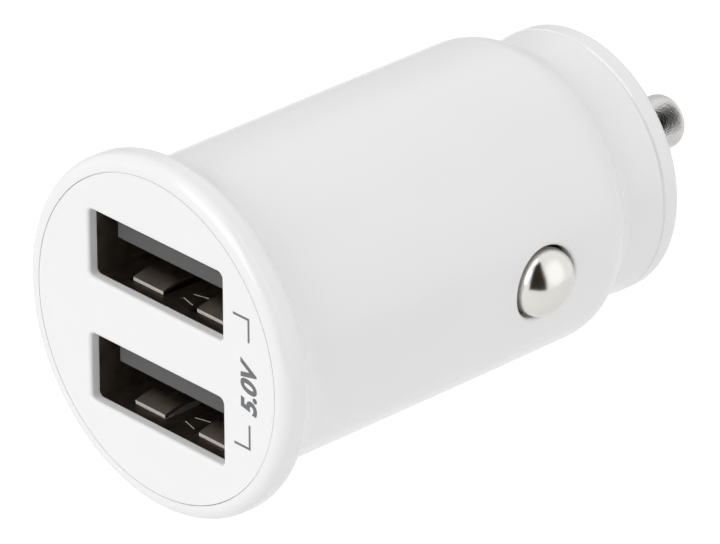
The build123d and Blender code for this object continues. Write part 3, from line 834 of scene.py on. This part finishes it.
def studio_world(studio, room_code):
    """A white tent round the plug.

    Camera and transmission rays see plain white. Matt surfaces get the fill light, weaker from the tent's
    front and stronger from its back. Rays that gloss sends on see white, but for three places: the opening
    where the camera stands, with the dark room behind it; a dimmer patch low behind the plug's left side,
    which draws its upper edge; and a brighter patch where the back box stands.
    """
    opening_soft = math.radians(6)
    patch_radius = math.radians(24)
    dim_way = (-0.79, 0.61, 0.07)
    dim_soft = math.radians(12)
    dim_level = 0.68
    bright_soft = math.radians(16)
    bright_level = 1.3
    world = bpy.data.worlds.new("studio")
    bpy.context.scene.world = world
    world.use_nodes = True
    tree = world.node_tree
    tree.nodes.clear()
    way = add_node(tree, "ShaderNodeTexCoord").outputs["Generated"]

    # What gloss sees
    angles = (studio.opening_turn, studio.opening_half, studio.opening_top)
    opening = tent_opening(tree, way, *angles, opening_soft)
    shade = add_node(tree, "ShaderNodeMixRGB", {"Fac": opening, "Color1": WHITE, "Color2": linear(room_code)})
    dim = tent_patch(tree, way, dim_way, patch_radius, dim_soft)
    dimmed = add_node(tree, "ShaderNodeMapRange", {"Value": dim}, To_Min=1.0, To_Max=dim_level)
    bright = tent_patch(tree, way, studio.back_place, patch_radius, bright_soft)
    raised = add_node(tree, "ShaderNodeMapRange", {"Value": bright}, To_Min=1.0, To_Max=bright_level)
    levels = {0: dimmed.outputs["Result"], 1: raised.outputs["Result"]}
    level = add_node(tree, "ShaderNodeMath", levels, operation="MULTIPLY").outputs[0]
    gloss = add_node(tree, "ShaderNodeBackground", {"Color": shade.outputs["Color"], "Strength": level})

    # What lights matt surfaces
    along = add_node(tree, "ShaderNodeSeparateXYZ", {"Vector": way}).outputs["Y"]
    weaker = studio.tent_fill * (1 - studio.tent_slope)
    stronger = studio.tent_fill * (1 + studio.tent_slope)
    slope = {"From_Min": -1.0, "From_Max": 1.0, "To_Min": weaker, "To_Max": stronger}
    fill = add_node(tree, "ShaderNodeMapRange", {"Value": along}, **slope).outputs["Result"]
    tent = add_node(tree, "ShaderNodeBackground", {"Strength": fill}, Color=WHITE)

    plain = add_node(tree, "ShaderNodeBackground", Color=WHITE, Strength=1.0)
    seen, glossy = ray_kinds(tree)
    lit = add_node(tree, "ShaderNodeMixShader", {0: glossy, 1: tent.outputs[0], 2: gloss.outputs[0]})
    shown = add_node(tree, "ShaderNodeMixShader", {0: seen, 1: lit.outputs[0], 2: plain.outputs[0]})
    show(tree, shown, "ShaderNodeOutputWorld")


def studio_paper(name, code, seen_up, gloss_up):
    """Matt paper that looks white where the light reaches it.

    Its diffuse shade, with the shadow in it, is what lights the plug. Camera and transmission rays see that
    shade raised by one amount, which takes lit paper up to white and leaves the shadow as deep as it is, and
    rays that gloss sends on see it raised by another. From below it is clear, so that the plug's underside
    can be looked at.
    """
    fibre_mm = 3
    material, tree, coordinates = new_material(name)
    place = coordinates.outputs["Object"]
    fibre = add_node(tree, "ShaderNodeTexNoise", {"Vector": place}, Scale=per_metre(fibre_mm), Detail=3.0)
    shade = shade_range(tree, fibre.outputs["Fac"], code, spread=0.004)
    paper = add_node(tree, "ShaderNodeBsdfDiffuse", {"Color": shade})
    seen, glossy = ray_kinds(tree)
    straight = add_node(tree, "ShaderNodeMath", {0: seen, 1: seen_up}, operation="MULTIPLY").outputs[0]
    rays = {0: glossy, 1: gloss_up, 2: straight}
    raised = add_node(tree, "ShaderNodeMath", rays, operation="MULTIPLY_ADD").outputs[0]
    white = add_node(tree, "ShaderNodeEmission", {"Strength": raised})
    both = add_node(tree, "ShaderNodeAddShader", {0: paper.outputs[0], 1: white.outputs[0]})
    clear = add_node(tree, "ShaderNodeBsdfTransparent")
    below = add_node(tree, "ShaderNodeNewGeometry").outputs["Backfacing"]
    show(tree, add_node(tree, "ShaderNodeMixShader", {0: below, 1: both.outputs[0], 2: clear.outputs[0]}))
    return material


def feathered_card(name, code, middle, radius):
    """Black card that fades out to its edge, opaque in its middle and clear at the radius.

    Its reflection then has soft edges.
    """
    opaque_share = 0.35
    fibre_mm = 2
    material, tree, coordinates = new_material(name)
    place = coordinates.outputs["Object"]
    ends = {0: place, 1: middle}
    apart = add_node(tree, "ShaderNodeVectorMath", ends, operation="DISTANCE").outputs["Value"]
    step = {
        "interpolation_type": "SMOOTHSTEP",
        "From_Min": radius * opaque_share,
        "From_Max": radius,
    }
    fade = add_node(tree, "ShaderNodeMapRange", {"Value": apart}, **step).outputs["Result"]
    fibre = add_node(tree, "ShaderNodeTexNoise", {"Vector": place}, Scale=per_metre(fibre_mm), Detail=2.0)
    shade = shade_range(tree, fibre.outputs["Fac"], code, spread=0.1)
    card = add_node(tree, "ShaderNodeBsdfDiffuse", {"Color": shade})
    clear = add_node(tree, "ShaderNodeBsdfTransparent")
    show(tree, add_node(tree, "ShaderNodeMixShader", {0: fade, 1: card.outputs[0], 2: clear.outputs[0]}))
    return material


def flat_panel(name, centre, across, along, material):
    """A flat rectangle of studio paper or card: its centre plus and minus two half edges."""
    corners = np.array([(-1, -1), (1, -1), (1, 1), (-1, 1)], float)
    points = np.asarray(centre) + corners @ np.array([across, along])
    mesh = bpy.data.meshes.new(name)
    mesh.from_pydata(points.tolist(), [], [(0, 1, 2, 3)])
    piece = new_piece(name, mesh, material)
    return piece


def hang_dark_card(studio, code, tip_end, back):
    """A dark card beside the tip, out of sight, for the tip's near side to mirror.

    The near side faces the camera's direction taken square to the axis. The look from the camera is mirrored
    about that facing, and the card stands square to the mirrored look, some way out along it.
    """
    facing = Vector((back.x, 0, back.z)).normalized()
    mirrored = 2 * facing.dot(back) * facing - back
    middle = Vector((0, tip_end - studio.card_setback, 0)) + mirrored * studio.card_distance
    lengthwise = (Vector((0, 1, 0)) - mirrored.y * mirrored).normalized()
    crosswise = mirrored.cross(lengthwise)
    half = studio.card_half
    black = feathered_card("black_card", code, middle, half)
    card = flat_panel("dark_card", middle, crosswise * half, lengthwise * half, black)
    card.visible_camera = card.visible_diffuse = card.visible_transmission = card.visible_shadow = False


def camera_axes(studio):
    """The camera's right, up and back.

    Back points from the plug to the camera: it is turned from -Y towards +X by the azimuth and raised by the
    elevation. Right is level and up is square to both, and then the roll turns those two about back.
    """
    turn, rise, roll = studio.camera_turn, studio.camera_rise, studio.camera_roll
    back = Vector((math.sin(turn) * math.cos(rise), -math.cos(turn) * math.cos(rise), math.sin(rise)))
    level_right = Vector((math.cos(turn), math.sin(turn), 0))
    level_up = back.cross(level_right)
    right = level_right * math.cos(roll) + level_up * math.sin(roll)
    up = level_up * math.cos(roll) - level_right * math.sin(roll)
    return right, up, back


def place_camera(scene, studio, right, up, back):
    """A camera that shows the face's centre at the photograph's pixel and scale.

    A pixel at the face is a millimetre over the scale. The camera stands back by its focal length in such
    pixels, and aside by as many as the face's centre is off the picture's middle.
    """
    pixel = MM / studio.camera_scale
    across = (studio.camera_centre[0] - PHOTO_WIDTH / 2) * pixel
    above = (PHOTO_HEIGHT / 2 - studio.camera_centre[1]) * pixel
    camera = bpy.data.cameras.new("camera")
    camera.lens = studio.camera_focal / PHOTO_WIDTH * camera.sensor_width
    camera.clip_start = 0.01
    camera.clip_end = 10.0
    eye = bpy.data.objects.new("camera", camera)
    stand = back * (studio.camera_focal * pixel) - right * across - up * above
    eye.matrix_world = Matrix.Translation(stand) @ Matrix((right, up, back)).transposed().to_4x4()
    scene.collection.objects.link(eye)
    scene.camera = eye


class CHARGER_OT_stage(bpy.types.Operator):
    """Set the floor, the soft light, the dark card and the camera"""

    bl_idname = "charger.stage"
    bl_label = "Studio"

    def execute(self, context):
        scene = context.scene
        studio, colours = scene.charger_studio, scene.charger_colours
        low, high = cad_box

        # Floor: a plain sheet of studio paper under the plug, white to the eye where no shadow lies on it
        paper = studio_paper("studio_paper", colours.floor, seen_up=0.26, gloss_up=0.10)
        half = studio.floor_half
        flat_panel("floor", (0, 0, low[2] - studio.floor_drop), (half, 0, 0), (0, half, 0), paper)

        # A white tent, a strong soft box in front of the face, one behind on the right and a weak one above
        studio_world(studio, colours.room)
        near_face = (0, 10 * MM, 0)
        mid_barrel = (0, 20 * MM, 0)
        soft_box("key_box", studio.front_place, near_face, studio.front_size, studio.front_power)
        back_box = soft_box("back_box", studio.back_place, mid_barrel, studio.back_size, studio.back_power)
        # The box has hard edges, so gloss sees the tent's soft bright patch in its place
        back_box.visible_glossy = False
        soft_box("top_box", studio.top_place, mid_barrel, studio.top_size, studio.top_power)

        right, up, back = camera_axes(studio)
        hang_dark_card(studio, colours.card, high[1], back)
        place_camera(scene, studio, right, up, back)
        scene.view_settings.view_transform = "Standard"
        return {"FINISHED"}


class CHARGER_PT_panel(bpy.types.Panel):
    """Lists the steps that dress the charger, and their sizes and colours"""

    bl_label = "Charger"
    bl_idname = "CHARGER_PT_panel"
    bl_space_type = "VIEW_3D"
    bl_region_type = "UI"
    bl_category = "Charger"

    def draw(self, context):
        for operator in OPERATORS:
            self.layout.operator(operator.bl_idname)
        scene = context.scene
        for group in (scene.charger_mark, scene.charger_studio, scene.charger_colours):
            for name in group.bl_rna.properties.keys():
                if name not in ("rna_type", "name"):
                    self.layout.prop(group, name)


OPERATORS = (
    CHARGER_OT_mouldings,
    CHARGER_OT_contacts,
    CHARGER_OT_sockets,
    CHARGER_OT_converter,
    CHARGER_OT_mark,
    CHARGER_OT_stage,
)
CLASSES = (ChargerMark, ChargerStudio, ChargerColours, *OPERATORS, CHARGER_PT_panel)


def register():
    for each in CLASSES:
        bpy.utils.register_class(each)
    bpy.types.Scene.charger_mark = PointerProperty(type=ChargerMark)
    bpy.types.Scene.charger_studio = PointerProperty(type=ChargerStudio)
    bpy.types.Scene.charger_colours = PointerProperty(type=ChargerColours)


def unregister():
    del bpy.types.Scene.charger_colours
    del bpy.types.Scene.charger_studio
    del bpy.types.Scene.charger_mark
    for each in reversed(CLASSES):
        bpy.utils.unregister_class(each)


def main():
    register()
    bpy.ops.charger.mouldings()
    bpy.ops.charger.contacts()
    bpy.ops.charger.sockets()
    bpy.ops.charger.converter()
    bpy.ops.charger.mark()
    bpy.ops.charger.stage()


if __name__ == "__main__":
    main()
